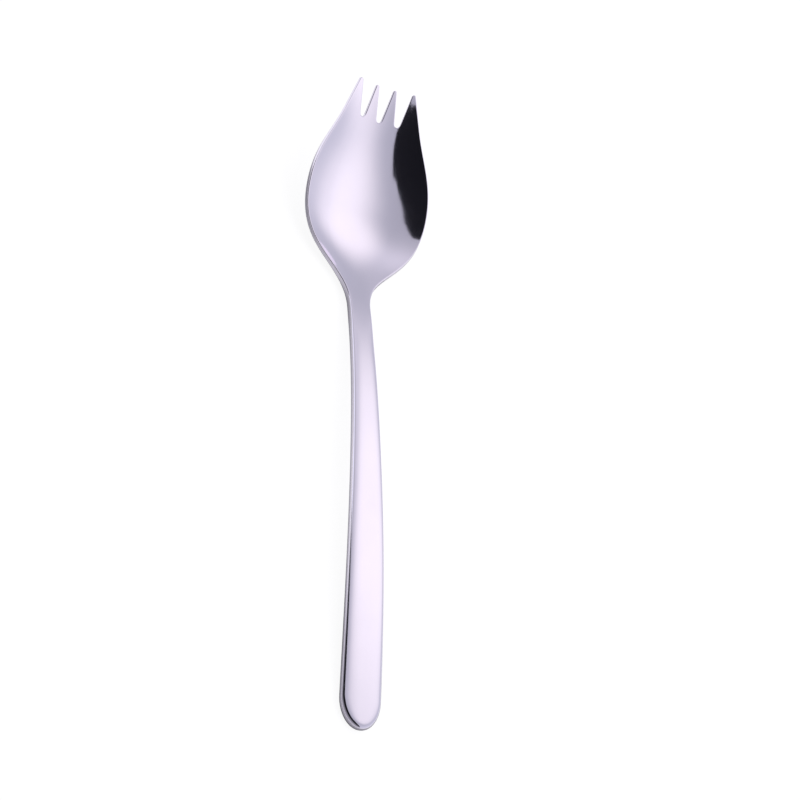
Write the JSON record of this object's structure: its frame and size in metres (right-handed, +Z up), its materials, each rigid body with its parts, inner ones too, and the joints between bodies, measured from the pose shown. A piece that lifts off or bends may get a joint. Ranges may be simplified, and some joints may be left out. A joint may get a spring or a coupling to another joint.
{
  "type": "spork",
  "caption": "Polished stainless steel spork made in one piece: a wide spoon bowl that tapers into short pointed tines, a narrow neck and a slim arched handle with a rounded end.",
  "frame": {"origin": "on the table under the middle of the length, on the centre line: the middle of the bottom of the box around the spork as it lies face up", "axes": "+Y along the length from the handle to the tines, +Z up out of the bowl, +X to the right as seen from the handle"},
  "size_m": [0.0424, 0.2061, 0.0216],
  "materials": {
    "steel": "polished"
  },
  "bodies": {
    "root": {"handle": "steel", "neck": "steel", "bowl": "steel", "tine_left_outer": "steel", "tine_left_inner": "steel", "tine_right_inner": "steel", "tine_right_outer": "steel"}
  },
  "joints": []
}
